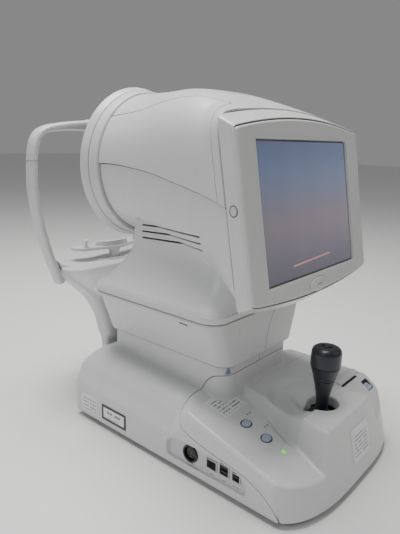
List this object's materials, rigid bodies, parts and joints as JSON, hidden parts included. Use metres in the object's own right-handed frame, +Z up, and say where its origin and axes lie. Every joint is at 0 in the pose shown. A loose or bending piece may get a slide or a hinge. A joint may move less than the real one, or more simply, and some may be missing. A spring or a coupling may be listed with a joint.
{
  "type": "tabletop eye refraction analyser",
  "caption": "Tabletop eye refraction and corneal analyser: tilted screen on a drum head, joystick base with printer, chin rest and forehead arch.",
  "frame": {"origin": "centre of the bounding box in plan, on the table under the rubber feet", "axes": "+Z up; the operator and the screen are at -Y, the patient, chin rest and forehead arch are at +Y, +X is to the operator's right; X = 0 is the mid plane of the stand and of the optical axis"},
  "size_m": [0.301, 0.5, 0.4803],
  "materials": {
    "shell_white": "satin moulded shell",
    "bezel_grey": "fine satin",
    "pin_white": "smooth",
    "pad_white": "soft silicone",
    "black_rubber": "matt",
    "black_plastic": "satin",
    "button_blue": "satin",
    "led_green": "clear",
    "screen_glass": "coated screen",
    "lens_glass": "coated",
    "steel": "ground",
    "alloy": "machined",
    "board_green": "solder mask",
    "paper": "thermal paper",
    "cone_black": "satin"
  },
  "bodies": {
    "base": {"base_pan": "alloy", "rubber_foot_1": "black_rubber", "rubber_foot_2": "black_rubber", "rubber_foot_3": "black_rubber", "rubber_foot_4": "black_rubber", "rear_base_cover": "shell_white", "deck_cover": "shell_white", "socket_panel": "shell_white", "multipin_socket": "black_plastic", "lan_jack": "steel", "usb_host_jack": "steel", "usb_device_jack": "steel", "power_lamp": "led_green", "power_inlet": "black_plastic", "power_supply": "alloy", "main_board": "board_green", "joystick_socket": "alloy", "printer_tray": "black_plastic", "lift_drive_frame": "steel", "chin_rest_support": "shell_white", "forehead_arch": "shell_white", "forehead_pad": "pad_white"},
    "lift": {"lift_skirt": "shell_white", "lift_carriage": "alloy", "lateral_rails": "steel"},
    "lift_screw": {"lift_screw": "steel"},
    "cross_slide": {"cross_saddle": "alloy"},
    "lateral_screw": {"lateral_screw": "steel"},
    "head": {"head_chassis": "alloy", "neck_cover": "shell_white", "roof_cover": "shell_white", "head_side_left": "shell_white", "head_side_right": "shell_white", "disc_inner_ring": "shell_white", "disc_face_ring": "shell_white", "ring_target_cone": "cone_black", "objective_lens": "lens_glass", "wavefront_unit": "black_plastic", "display_case": "shell_white", "display_bezel": "bezel_grey", "lcd_panel": "screen_glass"},
    "print_key": {"print_button": "bezel_grey"},
    "stick_gimbal": {"joystick_gimbal": "steel"},
    "stick": {"joystick_shaft": "black_plastic", "joystick_dust_cap": "black_rubber", "joystick_grip": "black_plastic"},
    "stick_ring": {"joystick_height_ring": "black_plastic"},
    "stick_trigger": {"joystick_trigger": "black_plastic"},
    "chin_up_key": {"chin_up_button": "button_blue"},
    "chin_down_key": {"chin_down_button": "button_blue"},
    "printer_lid": {"printer_door": "shell_white", "door_hinge_pin": "steel"},
    "door_key": {"door_release_button": "button_blue"},
    "platen": {"platen_roller": "black_rubber"},
    "paper": {"paper_roll": "paper"},
    "rocker": {"power_rocker": "black_plastic"},
    "chin_rest": {"chin_stem": "pin_white", "chin_rest_plate": "pin_white"},
    "pin_left": {"tissue_pin_left": "pin_white"},
    "pin_right": {"tissue_pin_right": "pin_white"}
  },
  "joints": [
    {"name": "lift_slide", "type": "slide", "parent": "base", "child": "lift", "axis": [0, 0, 1], "range_m": [-0.012, 0.018]},
    {"name": "lift_screw_spin", "type": "hinge", "parent": "base", "child": "lift_screw", "pos_m": [0, 0.017, 0.1], "axis": [0, 0, 1], "range_deg": [-1090, 1630]},
    {"name": "lateral_slide", "type": "slide", "parent": "lift", "child": "cross_slide", "axis": [1, 0, 0], "range_m": [-0.043, 0.043]},
    {"name": "lateral_screw_spin", "type": "hinge", "parent": "lift", "child": "lateral_screw", "pos_m": [0, 0.017, 0.199], "axis": [1, 0, 0], "range_deg": [-1560, 1560]},
    {"name": "fore_aft_slide", "type": "slide", "parent": "cross_slide", "child": "head", "axis": [0, 1, 0], "range_m": [-0.018, 0.018]},
    {"name": "print_press", "type": "slide", "parent": "head", "child": "print_key", "axis": [0, 0.9836, -0.1805], "range_m": [0, 0.0012], "stiffness_N_per_m": 900},
    {"name": "stick_tilt_fore_aft", "type": "hinge", "parent": "base", "child": "stick_gimbal", "pos_m": [0, -0.19, 0.05], "axis": [1, 0, 0], "range_deg": [-8, 8], "stiffness_Nm_per_rad": 0.6},
    {"name": "stick_tilt_lateral", "type": "hinge", "parent": "stick_gimbal", "child": "stick", "pos_m": [0, -0.19, 0.05], "axis": [0, 1, 0], "range_deg": [-8, 8], "stiffness_Nm_per_rad": 0.6},
    {"name": "stick_ring_twist", "type": "hinge", "parent": "stick", "child": "stick_ring", "pos_m": [0, -0.19, 0.13], "axis": [0, 0, 1], "range_deg": [-30, 30], "stiffness_Nm_per_rad": 0.05},
    {"name": "stick_trigger_press", "type": "slide", "parent": "stick", "child": "stick_trigger", "axis": [0, 0, -1], "range_m": [0, 0.0015], "stiffness_N_per_m": 700},
    {"name": "chin_up_press", "type": "slide", "parent": "base", "child": "chin_up_key", "axis": [0, 0.2419, -0.9703], "range_m": [0, 0.0015], "stiffness_N_per_m": 500},
    {"name": "chin_down_press", "type": "slide", "parent": "base", "child": "chin_down_key", "axis": [0, 0.2419, -0.9703], "range_m": [0, 0.0015], "stiffness_N_per_m": 500},
    {"name": "printer_lid_hinge", "type": "hinge", "parent": "base", "child": "printer_lid", "pos_m": [0.0895, -0.1035, 0.085], "axis": [-1, 0, 0], "range_deg": [0, 80]},
    {"name": "door_key_press", "type": "slide", "parent": "base", "child": "door_key", "axis": [0, 0, -1], "range_m": [0, 0.002], "stiffness_N_per_m": 500},
    {"name": "platen_spin", "type": "hinge", "parent": "base", "child": "platen", "pos_m": [0.0895, -0.17, 0.074], "axis": [1, 0, 0], "continuous": true},
    {"name": "paper_roll_spin", "type": "hinge", "parent": "base", "child": "paper", "pos_m": [0.0895, -0.133, 0.057], "axis": [1, 0, 0], "continuous": true},
    {"name": "power_rocker_tilt", "type": "hinge", "parent": "base", "child": "rocker", "pos_m": [0.109, 0.133, 0.0515], "axis": [-1, 0, 0], "range_deg": [0, 10]},
    {"name": "chin_rest_slide", "type": "slide", "parent": "base", "child": "chin_rest", "axis": [0, 0, 1], "range_m": [-0.01, 0.05]},
    {"name": "tissue_pin_left_pull", "type": "slide", "parent": "chin_rest", "child": "pin_left", "axis": [0, 0, 1], "range_m": [0, 0.016]},
    {"name": "tissue_pin_right_pull", "type": "slide", "parent": "chin_rest", "child": "pin_right", "axis": [0, 0, 1], "range_m": [0, 0.016]}
  ],
  "couplings": [
    {"joint": "lift_screw_spin", "follows": "lift_slide", "rad_per_m": 1570.8},
    {"joint": "lateral_screw_spin", "follows": "lateral_slide", "rad_per_m": 628.32},
    {"joint": "paper_roll_spin", "follows": "platen_spin", "ratio": 0.25}
  ]
}
